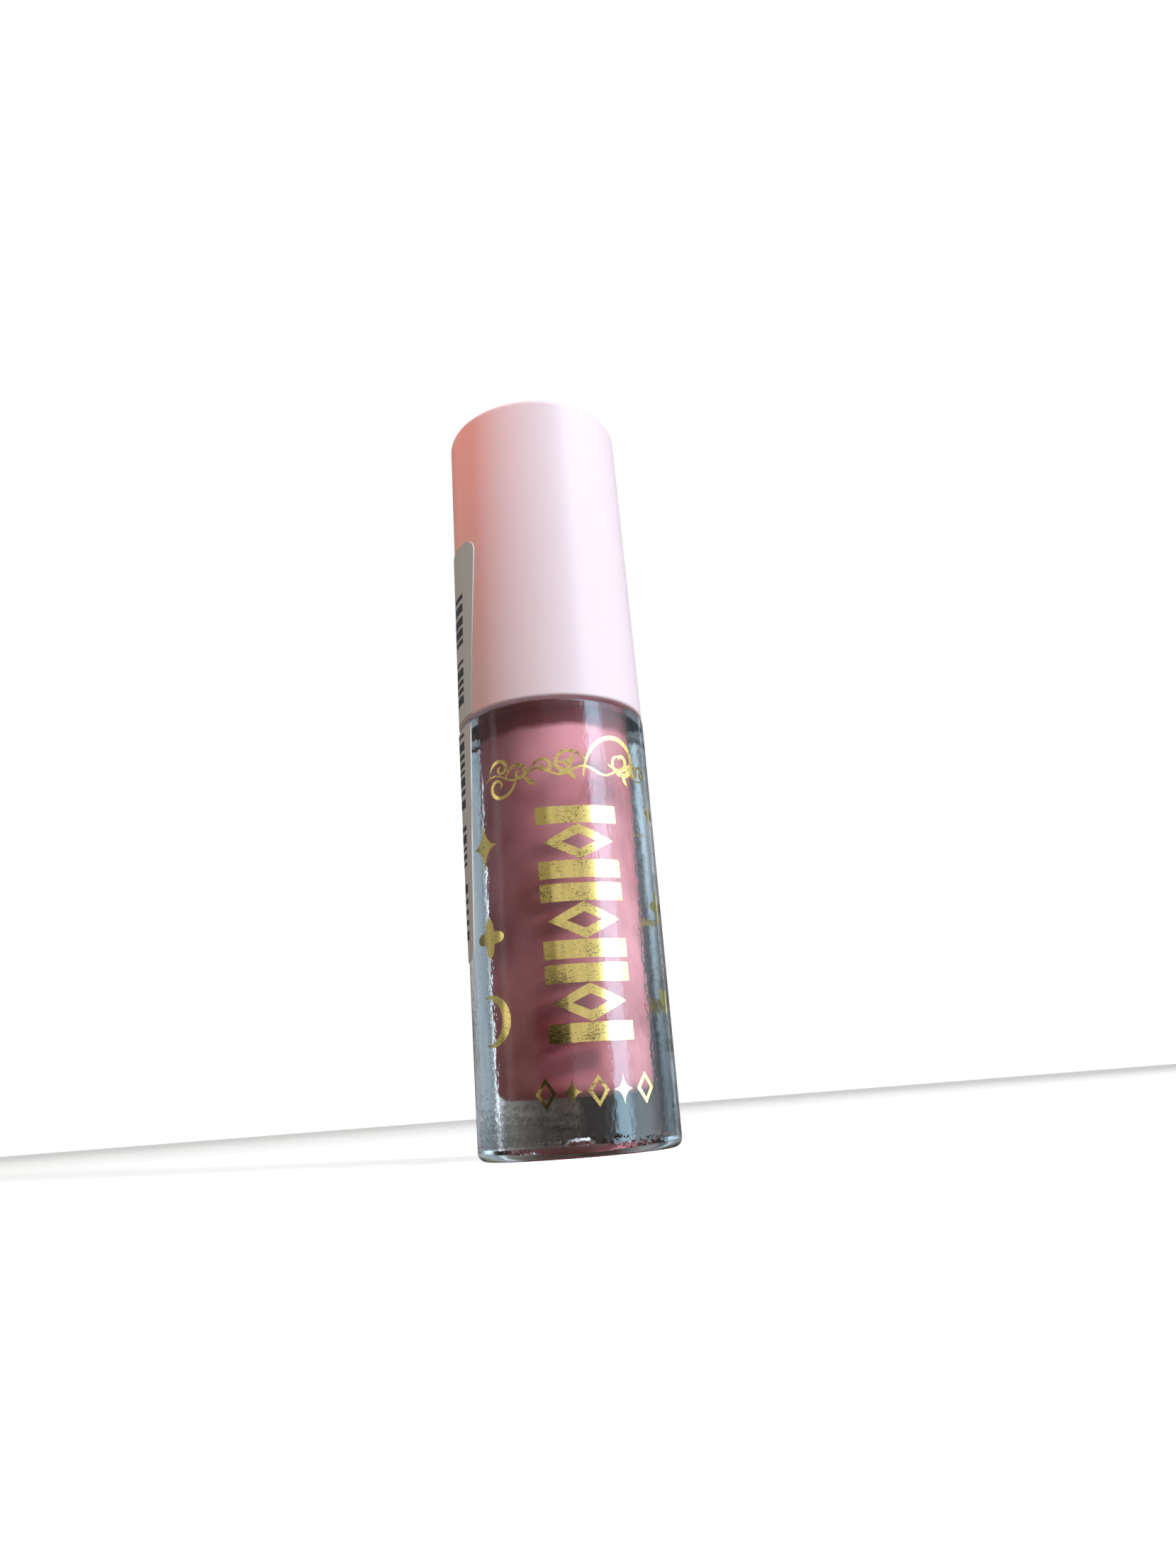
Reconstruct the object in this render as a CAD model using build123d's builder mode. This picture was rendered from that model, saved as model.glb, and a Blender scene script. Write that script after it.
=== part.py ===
"""Mini lip gloss tube: a heavy-walled clear bottle with a screwed cap that carries the wand.

Frame: +Z up along the tube's axis, origin at the centre of the base, millimetres.
The tube's front faces -Y, and the shade label is stuck on its -X side.
"""

import os
from math import cos, pi, radians, sin

from build123d import *

os.makedirs("parts", exist_ok=True)

# ---- driving dimensions ---------------------------------------------------------------
barrel_radius = 8.0  # outside of the clear bottle
barrel_height = 35.2  # base to shoulder
cavity_radius = 4.1  # bore that holds the gloss
floor_thickness = 4.3  # solid clear base under the cavity
neck_radius = 5.2
neck_height = 9.0
total_height = 63.8
joint_gap = 0.2  # fine line between the shoulder and the cap's lip
cap_lip_radius = 7.95
cap_top_radius = 7.66  # the cap has a slight draft
cap_wall = 1.2
cap_roof = 1.4
screw_lead = 3.0
screw_turns = 1.5
ridge_height = 0.8  # how far a thread ridge stands out of its wall
ridge_root_width = 1.2
ridge_crest_width = 0.5
thread_clearance = 0.15
stem_radius = 1.6
flock_radius = 1.75
wiper_clearance = 0.05  # between the wiper's lip and the flocked tip
label_thickness = 0.08
label_width = 9.4
label_low = 15.5
label_high = 52.0
label_lean = 3.5  # degrees, because the label is stuck on by hand

# ---- worked out from them -------------------------------------------------------------
neck_top = barrel_height + neck_height
cap_low = barrel_height + joint_gap
shell_bore = cap_lip_radius - cap_wall
roof_low = total_height - cap_roof
ridge_crest = neck_radius + ridge_height
thread_low = barrel_height + 2.4  # centre line of the lowest thread turn
inner_wall = ridge_crest + thread_clearance  # inside of the inner cap's skirt
overlap = 0.1  # a swept ridge starts this far inside the wall that carries it

wiper_flange = 0.8
wiper_radius = cavity_radius
wiper_bore = 3.2
wiper_lip_radius = flock_radius + wiper_clearance
wiper_low = barrel_height + 1.4
liner_gap = 0.05
liner_low = neck_top + wiper_flange + liner_gap
liner_thickness = 0.6
deck_low = liner_low + liner_thickness  # underside of the inner cap's deck
deck_thickness = 1.75
deck_high = deck_low + deck_thickness
socket_height = 4.0
socket_radius = 3.0
plug_radius = 1.5
collar_radius = 2.4
collar_height = 0.7

tip_low = floor_thickness + 1.7  # lowest point of the flocked tip
tip_length = 9.0
tip_pin_radius = 0.8
tip_pin_length = 4.0
flock_thickness = 0.35
gloss_level = barrel_height + 0.4
gloss_skin = 0.02  # keeps the gloss solid just off the bottle's wall
wand_room = 0.35  # gap between the wand and the gloss round it

axis_z = Axis.Z


def thread_ridge(root_radius, direction, low, turns, start_angle):
    """A trapezoid ridge wound round the axis: direction is 1 for outwards, -1 for inwards."""
    base_radius = root_radius - direction * overlap
    reach = direction * (ridge_height + overlap)
    half_root = ridge_root_width / 2
    half_crest = ridge_crest_width / 2
    with BuildPart() as ridge:
        with BuildLine() as path:
            Helix(pitch=screw_lead, height=screw_lead * turns, radius=base_radius, center=(0, 0, low))
        with BuildSketch(Plane(origin=path.line @ 0, x_dir=(1, 0, 0), z_dir=path.line % 0)):
            with BuildLine():
                Polyline(
                    (0, -half_root),
                    (reach, -half_crest),
                    (reach, half_crest),
                    (0, half_root),
                    close=True,
                )
            make_face()
        sweep(path=path.line, is_frenet=True)
    return ridge.part.rotate(axis_z, start_angle)


# ---- clear bottle: barrel, thick base, shoulder, threaded neck ------------------------
base_edge = 0.7
push_up_radius = 5.6
push_up_depth = 0.8
gate_radius = 0.85
gate_depth = 0.4
cavity_corner = 0.9
shoulder_edge = 0.35

neck_ridge = thread_ridge(neck_radius, 1, thread_low, screw_turns, 0)

with BuildPart() as bottle:
    Cylinder(barrel_radius, barrel_height, align=(Align.CENTER, Align.CENTER, Align.MIN))
    fillet(bottle.faces().sort_by(axis_z)[0].edges(), base_edge)
    fillet(bottle.faces().sort_by(axis_z)[-1].edges(), shoulder_edge)
    with BuildSketch(Plane.XY.offset(barrel_height)):
        Circle(neck_radius)
    extrude(amount=neck_height)
    chamfer(bottle.faces().sort_by(axis_z)[-1].edges(), 0.25)
    add(neck_ridge)
    with BuildSketch(Plane.XY.offset(floor_thickness)):
        Circle(cavity_radius)
    extrude(amount=neck_top - floor_thickness, mode=Mode.SUBTRACT)
    cavity_floor = bottle.faces().filter_by(Plane.XY).filter_by_position(
        axis_z, floor_thickness - 0.01, floor_thickness + 0.01
    )
    fillet(cavity_floor.edges(), cavity_corner)
    with BuildSketch():
        Circle(push_up_radius)
    extrude(amount=push_up_depth, taper=30, mode=Mode.SUBTRACT)
    with BuildSketch(Plane.XY.offset(push_up_depth)):
        Circle(gate_radius)
    extrude(amount=gate_depth, taper=45, mode=Mode.SUBTRACT)
bottle.part.label = "bottle"

# ---- wiper: flange on the neck, tube in the bore, funnel down to the wiping lip -------
wiper_wall = wiper_radius - wiper_bore
funnel_height = 3.2
lip_height = 0.6
with BuildPart() as wiper:
    with BuildSketch(Plane.XZ):
        with BuildLine():
            Polyline(
                (wiper_bore, neck_top + wiper_flange),
                (neck_radius - 0.1, neck_top + wiper_flange),
                (neck_radius - 0.1, neck_top),
                (wiper_radius, neck_top),
                (wiper_radius, wiper_low + funnel_height),
                (wiper_lip_radius + wiper_wall * 0.6, wiper_low),
                (wiper_lip_radius, wiper_low),
                (wiper_lip_radius, wiper_low + lip_height),
                (wiper_bore, wiper_low + funnel_height + lip_height),
                close=True,
            )
        make_face()
    revolve(axis=axis_z)
    fillet(wiper.faces().sort_by(axis_z)[-1].edges().sort_by(SortBy.RADIUS)[-1], 0.3)
wiper.part.label = "wiper"

# ---- wand: stem, flocked tip and the core inside it -----------------------------------
stem_low = tip_low + tip_length - 1.0
with BuildPart() as stem:
    with BuildSketch(Plane.XY.offset(stem_low)):
        Circle(stem_radius)
    extrude(amount=deck_low - stem_low)
    chamfer(stem.faces().sort_by(axis_z)[0].edges(), 0.2)
    with BuildSketch(Plane.XY.offset(deck_low - collar_height)):
        Circle(collar_radius)
    extrude(amount=collar_height)
    with BuildSketch(Plane.XY.offset(deck_low)):
        Circle(plug_radius)
    extrude(amount=deck_thickness + socket_height - 0.6)
    chamfer(stem.faces().sort_by(axis_z)[-1].edges(), 0.3)
    with BuildSketch(Plane.XY.offset(stem_low)):
        Circle(tip_pin_radius)
    extrude(amount=tip_pin_length + 0.3, mode=Mode.SUBTRACT)
stem.part.label = "stem"


def doe_foot(radius, low, slant):
    """A round-nosed tip below the stem, cut on the slant on its front like a doe's foot."""
    nose = radius * 0.72
    with BuildPart() as foot:
        with BuildSketch(Plane.XY.offset(low)):
            Circle(radius)
        extrude(amount=stem_low - low)
        fillet(foot.faces().sort_by(axis_z)[0].edges(), nose)
        cut_plane = Plane(origin=(0, -radius * 0.12, low), x_dir=(1, 0, 0), z_dir=(0, -cos(slant), -sin(slant)))
        split(bisect_by=cut_plane, keep=Keep.BOTTOM)
        fillet(foot.faces().sort_by(Axis.Y)[0].edges(), radius * 0.18)
    return foot.part


foot_slant = radians(14)
foot_whole = doe_foot(flock_radius, tip_low, foot_slant)
core_radius = flock_radius - flock_thickness
core_whole = doe_foot(core_radius, tip_low + flock_thickness, foot_slant)

with BuildPart() as tip_core:
    add(core_whole)
    with BuildSketch(Plane.XY.offset(stem_low)):
        Circle(tip_pin_radius)
    extrude(amount=tip_pin_length)
tip_core.part.label = "tip_core"

with BuildPart() as tip_flock:
    add(foot_whole)
    add(core_whole, mode=Mode.SUBTRACT)
tip_flock.part.label = "tip_flock"

# ---- gloss: fills the cavity, with the wand's way left free ---------------------------
well_radius = flock_radius + wand_room
well_low = tip_low - wand_room
with BuildPart() as gloss:
    with BuildSketch(Plane.XY.offset(floor_thickness + gloss_skin)):
        Circle(cavity_radius - gloss_skin)
    extrude(amount=gloss_level - floor_thickness - gloss_skin)
    fillet(gloss.faces().sort_by(axis_z)[0].edges(), cavity_corner)
    with BuildSketch(Plane.XY.offset(well_low)):
        Circle(well_radius)
    extrude(amount=gloss_level - well_low, mode=Mode.SUBTRACT)
    fillet(
        gloss.faces().filter_by(Plane.XY).filter_by_position(axis_z, well_low - 0.01, well_low + 0.01).edges(),
        well_radius * 0.6,
    )
gloss.part.label = "gloss"

# ---- liner: the soft ring that seals the inner cap on the wiper's flange --------------
liner_inner = collar_radius + 0.3
liner_outer = neck_radius + 0.4
with BuildPart() as cap_liner:
    with BuildSketch(Plane.XY.offset(liner_low)):
        Circle(liner_outer)
        Circle(liner_inner, mode=Mode.SUBTRACT)
    extrude(amount=liner_thickness)
cap_liner.part.label = "cap_liner"

# ---- inner cap: threaded skirt, deck and the socket that grips the stem ---------------
skirt_low = barrel_height + 1.0
groove_count = 24
groove_radius = 0.3
cap_ridge = thread_ridge(inner_wall, -1, thread_low, screw_turns, 180)
with BuildPart() as inner_cap:
    with BuildSketch(Plane.XY.offset(skirt_low)):
        Circle(shell_bore)
        with PolarLocations(shell_bore, groove_count):
            Circle(groove_radius, mode=Mode.SUBTRACT)
    extrude(amount=deck_high - skirt_low)
    with BuildSketch(Plane.XY.offset(skirt_low)):
        Circle(inner_wall)
    extrude(amount=deck_low - skirt_low, mode=Mode.SUBTRACT)
    add(cap_ridge)
    with BuildSketch(Plane.XY.offset(deck_high)):
        Circle(socket_radius)
    extrude(amount=socket_height)
    with BuildSketch(Plane.XY.offset(deck_low)):
        Circle(plug_radius)
    extrude(amount=deck_thickness + socket_height, mode=Mode.SUBTRACT)
inner_cap.part.label = "inner_cap"

# ---- outer cap: the coloured shell, with ribs inside that stop on the inner cap -------
rib_count = 8
rib_thickness = 0.8
rib_depth = 1.3
lip_edge = 0.25
roof_edge = 0.5
draft_per_mm = (cap_lip_radius - cap_top_radius) / (total_height - cap_low)
with BuildPart() as outer_cap:
    with BuildSketch(Plane.XZ):
        with BuildLine():
            Polyline(
                (0, cap_low),
                (cap_lip_radius, cap_low),
                (cap_top_radius, total_height),
                (0, total_height),
                close=True,
            )
        make_face()
    revolve(axis=axis_z)
    fillet(outer_cap.faces().sort_by(axis_z)[-1].edges(), roof_edge)
    with BuildSketch(Plane.XY.offset(cap_low)):
        Circle(shell_bore)
    extrude(amount=roof_low - cap_low, mode=Mode.SUBTRACT)
    fillet(outer_cap.faces().sort_by(axis_z)[0].edges().sort_by(SortBy.RADIUS)[-1], lip_edge)
    with BuildSketch(Plane.XY.offset(deck_high)):
        with PolarLocations(shell_bore - rib_depth / 2 + 0.1, rib_count):
            Rectangle(rib_depth + 0.2, rib_thickness)
    extrude(amount=roof_low - deck_high)
outer_cap.part.label = "outer_cap"

# ---- shade label: one sticker, slit at the joint so that the cap can turn -------------
label_height = label_high - label_low
label_middle = (label_high + label_low) / 2
half_chord = barrel_radius * sin(label_width / 2 / barrel_radius)
label_corner = 1.3


def label_piece(low_radius, high_radius, low, high):
    """The part of the sticker between two heights, on a wall that runs straight between two radii."""
    with BuildPart() as piece:
        with BuildSketch(Plane.XZ):
            with BuildLine():
                Polyline(
                    (low_radius, low),
                    (low_radius + label_thickness, low),
                    (high_radius + label_thickness, high),
                    (high_radius, high),
                    close=True,
                )
            make_face()
        revolve(axis=axis_z)
        facing = Plane(origin=(0, 0, label_middle), x_dir=(0, -1, 0), z_dir=(-1, 0, 0))
        with BuildSketch(facing):
            with Locations(Rotation(0, 0, -label_lean)):
                RectangleRounded(2 * half_chord, label_height, label_corner)
        extrude(amount=barrel_radius + 1, mode=Mode.INTERSECT)
    return piece.part


def cap_radius_at(height):
    """Outside radius of the drafted cap at a height."""
    return cap_lip_radius - draft_per_mm * (height - cap_low)


label_clear = 0.25  # the slit stays clear of the rounded edges at the joint
slit_low = barrel_height - shoulder_edge - 0.05
slit_high = cap_low + label_clear
with BuildPart() as label_lower:
    add(label_piece(barrel_radius, barrel_radius, label_low - 2, slit_low))
label_lower.part.label = "label_lower"

with BuildPart() as label_upper:
    add(label_piece(cap_radius_at(slit_high), cap_radius_at(label_high + 2), slit_high, label_high + 2))
label_upper.part.label = "label_upper"

for piece in (
    bottle,
    wiper,
    gloss,
    label_lower,
    cap_liner,
    inner_cap,
    outer_cap,
    label_upper,
    stem,
    tip_core,
    tip_flock,
):
    export_step(piece.part, f"parts/{piece.part.label}.step")
    print(piece.part.label, "volume", round(piece.part.volume, 2), "valid", piece.part.is_valid)
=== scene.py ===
# %% [markdown]
# # A mini lip gloss tube
# The tube is a thick clear bottle full of mauve gloss, with a pale pink screw cap that carries the
# wand. The plain shapes come from the CAD model, which is loaded first and never moved. Everything
# after that is about looks: the clear wall, the fill behind it, the gold print and the paper label.

import math
import random

import bmesh
import bpy
from mathutils import Matrix, Vector


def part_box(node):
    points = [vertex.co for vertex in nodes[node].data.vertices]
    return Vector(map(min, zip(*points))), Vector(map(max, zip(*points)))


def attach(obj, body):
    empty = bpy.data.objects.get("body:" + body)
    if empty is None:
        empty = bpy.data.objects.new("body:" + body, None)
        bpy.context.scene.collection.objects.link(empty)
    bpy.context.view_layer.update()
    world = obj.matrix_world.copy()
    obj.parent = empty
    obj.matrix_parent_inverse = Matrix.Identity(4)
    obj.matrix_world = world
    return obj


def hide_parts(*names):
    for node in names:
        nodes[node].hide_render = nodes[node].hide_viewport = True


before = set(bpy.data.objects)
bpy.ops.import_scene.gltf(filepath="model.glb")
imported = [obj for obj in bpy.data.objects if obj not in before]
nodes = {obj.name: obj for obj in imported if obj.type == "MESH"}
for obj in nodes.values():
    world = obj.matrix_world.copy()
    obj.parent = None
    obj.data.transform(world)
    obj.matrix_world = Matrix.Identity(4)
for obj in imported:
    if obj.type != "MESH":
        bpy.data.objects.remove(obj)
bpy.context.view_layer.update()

# %% [markdown]
# ## The tube's own sizes
# Every place in this file is worked out from a few sizes read back from the CAD boxes, so that the
# looks follow the model if it changes. The helper gives a node's radius and its two heights.

# %% Read the sizes
MM = 0.001


def turned_size(node):
    """Radius, bottom and top of a turned CAD node, in metres."""
    low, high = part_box(node)
    return high.x, low.z, high.z


barrel_radius, _, _ = turned_size("bottle")
gloss_radius, gloss_low_z, gloss_high_z = turned_size("gloss")
_, _, cap_high_z = turned_size("outer_cap")
tip_radius, tip_low_z, _ = turned_size("tip_flock")
stem_low_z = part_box("stem")[0].z
print("barrel radius", round(barrel_radius / MM, 2), "mm, height", round(cap_high_z / MM, 2), "mm")

# %% [markdown]
# ## Camera
# The camera stands close to the tube and low, level with its base, and looks up at it a little.
# A wide lens that near makes the base look larger than the cap. It is also rolled a few degrees,
# so the tube leans to the left in the frame.

# %% Place the camera
camera_distance = 10.993 * barrel_radius
camera_height = 0.4245 * barrel_radius
camera_pitch = math.radians(16.894)
camera_yaw = math.radians(-1.847)
camera_roll = math.radians(-4.521)

camera_data = bpy.data.cameras.new("camera")
camera_data.sensor_fit = "VERTICAL"
camera_data.sensor_height = 36
camera_data.lens = 24.41
camera_data.clip_start = 0.002
camera = bpy.data.objects.new("camera", camera_data)
camera.matrix_world = (
    Matrix.Translation((0, -camera_distance, camera_height))
    @ Matrix.Rotation(camera_yaw, 4, "Z")
    @ Matrix.Rotation(camera_pitch + math.pi / 2, 4, "X")
    @ Matrix.Rotation(camera_roll, 4, "Z")
)
bpy.context.scene.collection.objects.link(camera)
bpy.context.scene.camera = camera
print("camera axes", [[round(v, 4) for v in row[:3]] for row in camera.matrix_world])

# %% [markdown]
# ## The floor
# The floor is plain and pale, but only to the camera. A clear wall shows what stands behind and under
# it, and over a pale sheet the whole base would vanish. So a ray that has met the tube finds a small
# dark table there instead, which is what gives the solid base its smoky depth.

# %% Lay the floor
def shown(name, mesh):
    """A new object at the origin that shows a mesh."""
    made = bpy.data.objects.new(name, mesh)
    bpy.context.scene.collection.objects.link(made)
    return made


def mesh_object(name, verts, faces):
    """A new mesh object at the origin from plain lists."""
    mesh = bpy.data.meshes.new(name)
    mesh.from_pydata(verts, [], faces)
    mesh.update()
    return shown(name, mesh)


floor_size = 1.5
floor = mesh_object(
    "floor",
    [(x * floor_size, y * floor_size, 0) for x, y in ((-1, -1), (1, -1), (1, 1), (-1, 1))],
    [(0, 1, 2, 3)],
)
print("floor", 2 * floor_size, "m square")

# %% [markdown]
# ## Node trees in few words
# Materials, the world and Geometry Nodes are all node trees, so a few small helpers build them all.
# A node's input takes either a plain value or a socket, which is then linked. The floor's tree is
# the first: it asks whether a ray comes straight from the camera, and shows the pale sheet or the
# dark table.

# %% Give the floor its look
def fill_inputs(tree, node, inputs):
    """Fills a node's inputs, by name or number, with values or with links from sockets."""
    for key, value in inputs.items():
        if isinstance(value, bpy.types.NodeSocket):
            tree.links.new(value, node.inputs[key])
        else:
            node.inputs[key].default_value = value


def add_node(tree, kind, inputs=None, **settings):
    """A new node with its settings made and its inputs filled."""
    node = tree.nodes.new(kind)
    for name, value in settings.items():
        setattr(node, name, value)
    fill_inputs(tree, node, inputs or {})
    return node


def math_node(tree, operation, *values, clamp=False):
    """A Math node on sockets and numbers; returns its output."""
    inputs = dict(enumerate(values))
    return add_node(tree, "ShaderNodeMath", inputs, operation=operation, use_clamp=clamp).outputs[0]


def shader_mix(tree, factor, first, second):
    """The first shader where the factor is 0 and the second where it is 1."""
    return add_node(tree, "ShaderNodeMixShader", {0: factor, 1: first, 2: second}).outputs[0]


def object_place(tree):
    """The Object coordinates of the surface point."""
    return add_node(tree, "ShaderNodeTexCoord").outputs["Object"]


def plain_material(name):
    """A material with its node tree, its Principled shader and its output."""
    material = bpy.data.materials.new(name)
    material.use_nodes = True
    tree = material.node_tree
    return material, tree, tree.nodes["Principled BSDF"], tree.nodes["Material Output"]


table_size = 4 * barrel_radius
floor_material, floor_tree, floor_shader, floor_output = plain_material("pale_floor")
fill_inputs(floor_tree, floor_shader, {
    "Base Color": (0.88, 0.88, 0.88, 1),
    "Roughness": 0.9,
    "Specular IOR Level": 0.1,
    "Emission Color": (1, 1, 1, 1),
    "Emission Strength": 0.42,
})
dark_table = add_node(floor_tree, "ShaderNodeEmission", {"Color": (0.125, 0.108, 0.088, 1)})
beyond_table = add_node(floor_tree, "ShaderNodeBsdfTransparent")
reach = add_node(floor_tree, "ShaderNodeVectorMath", {0: object_place(floor_tree)}, operation="LENGTH")
off_table = math_node(floor_tree, "GREATER_THAN", reach.outputs["Value"], table_size)
table = shader_mix(floor_tree, off_table, dark_table.outputs[0], beyond_table.outputs[0])
floor_ray = add_node(floor_tree, "ShaderNodeLightPath").outputs["Is Camera Ray"]
floor_look = shader_mix(floor_tree, floor_ray, table, floor_shader.outputs[0])
floor_tree.links.new(floor_look, floor_output.inputs["Surface"])
floor.data.materials.append(floor_material)
print("floor nodes", len(floor_tree.nodes))

# %% [markdown]
# ## The room
# A polished tube shows the room more than it shows itself, so the room is drawn as a world. Mirrors
# and clear walls see a ramp of brightness round the compass, counted in degrees from the front
# towards the right. The bright window near 50 degrees draws the long streak, and the pale wall beyond
# it veils the right side. The bands behind the tube fill the two clear edges, because a thick round
# wall bends what is behind it to the other side.

# %% Draw the ramp round the compass
room_stops = [
    (-180, 0.03, (1.0, 0.70, 0.55)),
    (-167, 0.05, (1.0, 0.85, 0.72)),
    (-152, 0.32, (0.95, 0.98, 1.0)),
    (-146, 0.28, (0.92, 0.96, 1.0)),
    (-141, 0.10, (0.75, 0.88, 1.0)),
    (-136, 0.13, (0.70, 0.88, 1.0)),
    (-132, 0.95, (0.60, 0.84, 1.0)),
    (-127, 0.85, (0.66, 0.86, 1.0)),
    (-123, 0.20, (0.82, 0.90, 1.0)),
    (-109, 0.34, (0.88, 0.94, 1.0)),
    (-101, 0.42, (0.95, 0.97, 1.0)),
    (-84, 0.30, (1.0, 0.95, 0.88)),
    (-79, 0.95, (1.0, 0.98, 0.92)),
    (-75, 0.95, (1.0, 0.98, 0.92)),
    (-71, 0.36, (1.0, 0.92, 0.80)),
    (-14, 0.36, (1.0, 0.92, 0.80)),
    (-9, 0.66, (1.0, 0.97, 0.95)),
    (28, 0.78, (0.98, 0.97, 1.0)),
    (39, 1.5, (0.88, 0.92, 1.0)),
    (46, 11.5, (0.52, 0.80, 1.0)),
    (57, 11.5, (0.55, 0.82, 1.0)),
    (66, 4.6, (0.62, 0.84, 1.0)),
    (80, 4.0, (0.68, 0.86, 1.0)),
    (98, 1.8, (0.88, 0.92, 1.0)),
    (112, 0.55, (0.85, 0.93, 1.0)),
    (124, 0.46, (0.68, 0.87, 1.0)),
    (139, 0.36, (0.62, 0.84, 1.0)),
    (141, 0.05, (0.80, 0.90, 1.0)),
    (144, 1.60, (0.80, 0.93, 1.0)),
    (146, 0.30, (0.82, 0.93, 1.0)),
    (152, 0.15, (0.96, 1.0, 0.95)),
    (166, 0.055, (1.0, 0.80, 0.66)),
]
room_gain = 14.0

world = bpy.data.worlds.new("studio")
bpy.context.scene.world = world
world.use_nodes = True
world.cycles.sampling_method = "NONE"
world_tree = world.node_tree
world_tree.nodes.clear()


def world_math(operation, *values):
    """A Math node in the world's tree."""
    return math_node(world_tree, operation, *values)


direction = add_node(world_tree, "ShaderNodeTexCoord").outputs["Generated"]
compass = add_node(world_tree, "ShaderNodeSeparateXYZ", {0: direction})
to_front = world_math("MULTIPLY", compass.outputs["Y"], -1.0)
bearing = world_math("ARCTAN2", compass.outputs["X"], to_front)
share = world_math("ADD", world_math("DIVIDE", bearing, math.tau), 0.5)
ramp = add_node(world_tree, "ShaderNodeValToRGB", {0: share})
stops = ramp.color_ramp.elements
stops.remove(stops[1])
for index, (azimuth, radiance, tint) in enumerate(room_stops):
    stop_share = (azimuth + 180) / 360
    stop = stops.new(stop_share) if index else stops[0]
    stop.position = stop_share
    stop.color = (*(channel * radiance / room_gain for channel in tint), 1)
print("room ramp with", len(stops), "stops")

# %% [markdown]
# ## Dark and broken places in the room
# A real room is darker near the table and is never even. The back is dimmed low down, and more on
# the left, which the round wall shows on its right; that makes the base smoky. Something dark stands
# low in front, a little to the left, and the lowest gold print mirrors it as brown. A noise then
# breaks up every band a little. Levels are heights of the direction's unit vector.

# %% Dim and break the ramp
left_back_share = 0.2
right_back_share = 0.82
table_level = -0.004
dark_bearing = math.radians(-21)
dark_half_width = 0.33
dark_level = 0.108
level = compass.outputs["Z"]
low_fade = add_node(world_tree, "ShaderNodeMapRange", {
    "Value": level,
    "From Min": 0.02,
    "From Max": 0.27,
    "To Min": 0.80,
    "To Max": 0.0,
})
left_back = world_math("LESS_THAN", share, left_back_share)
left_dim = world_math("MULTIPLY", left_back, low_fade.outputs["Result"])
right_back = world_math("GREATER_THAN", share, right_back_share)
below_table = world_math("LESS_THAN", level, table_level)
right_dim = world_math("MULTIPLY", world_math("MULTIPLY", right_back, below_table), 0.5)
back_dim = world_math("ADD", left_dim, right_dim)
off_middle = world_math("ABSOLUTE", world_math("SUBTRACT", bearing, dark_bearing))
in_front = world_math("LESS_THAN", off_middle, dark_half_width)
near_table = world_math("LESS_THAN", level, dark_level)
front_dim = world_math("MULTIPLY", world_math("MULTIPLY", in_front, near_table), 0.92)
clutter = add_node(world_tree, "ShaderNodeTexNoise", {
    "Vector": direction,
    "Scale": 15.0,
    "Detail": 5.0,
    "Roughness": 0.65,
})
uneven = world_math("ADD", world_math("MULTIPLY", clutter.outputs["Fac"], 1.5), 0.25)
uneven = world_math("MULTIPLY", uneven, world_math("SUBTRACT", 1.0, back_dim))
uneven = world_math("MULTIPLY", uneven, world_math("SUBTRACT", 1.0, front_dim))
scaling = {0: ramp.outputs["Color"], "Scale": uneven}
broken = add_node(world_tree, "ShaderNodeVectorMath", scaling, operation="SCALE")
print("world nodes", len(world_tree.nodes))

# %% [markdown]
# ## Three faces of the world
# The camera sees plain white, as in a cut-out. Matt surfaces get an even, slightly warm ambient
# light. Only mirrors and clear walls see the drawn room. Sampling the world as a lamp would mix the
# three up, so that was switched off above.

# %% Show each ray its own world
def background(colour, strength):
    """A Background shader's output."""
    inputs = {"Color": colour, "Strength": strength}
    return add_node(world_tree, "ShaderNodeBackground", inputs).outputs[0]


ambient_colour = (1.0, 0.88, 0.76, 1)
ray = add_node(world_tree, "ShaderNodeLightPath")
room = background(broken.outputs[0], room_gain)
ambient = background(ambient_colour, 0.17)
unseen = shader_mix(world_tree, ray.outputs["Is Diffuse Ray"], room, ambient)
white = background((1, 1, 1, 1), 1.0)
faces = shader_mix(world_tree, ray.outputs["Is Camera Ray"], unseen, white)
world_out = add_node(world_tree, "ShaderNodeOutputWorld", {"Surface": faces})
bpy.context.scene.view_settings.view_transform = "Standard"
bpy.context.scene.view_settings.look = "None"
print("world output", world_out.name)

# %% [markdown]
# ## The lamps
# The lamps only light. They are hidden from mirrors, which see the drawn room instead. The key is a
# small window, high on the right, so the print throws a soft-edged shadow through the wall onto the
# fill. Wide weak fills stand in front, at both sides and overhead. A warm card glows close to the
# cap's upper left and lights the cap alone, as if a hand held it there, and turns that side salmon.

# %% Place the lamps
def around(azimuth, distance, height):
    """A point at an azimuth from the front towards the right, in degrees, round the tube."""
    angle = math.radians(azimuth)
    return Vector((math.sin(angle) * distance, -math.cos(angle) * distance, height))


def lamp(name, azimuth, distance, height, width, tall, colour, radiance, aim_z=cap_high_z / 2):
    """An area light aimed at the tube; its power follows from how bright it should look."""
    data = bpy.data.lights.new(name, "AREA")
    data.shape = "RECTANGLE"
    data.size = width
    data.size_y = tall
    data.color = colour
    data.energy = radiance * width * tall * math.pi
    light = bpy.data.objects.new(name, data)
    stand = around(azimuth, distance, height)
    aim = Vector((0, 0, aim_z)) - stand
    light.matrix_world = Matrix.Translation(stand) @ aim.to_track_quat("-Z", "Y").to_matrix().to_4x4()
    light.visible_camera = False
    light.visible_glossy = False
    light.visible_transmission = False
    bpy.context.scene.collection.objects.link(light)
    return light


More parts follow.
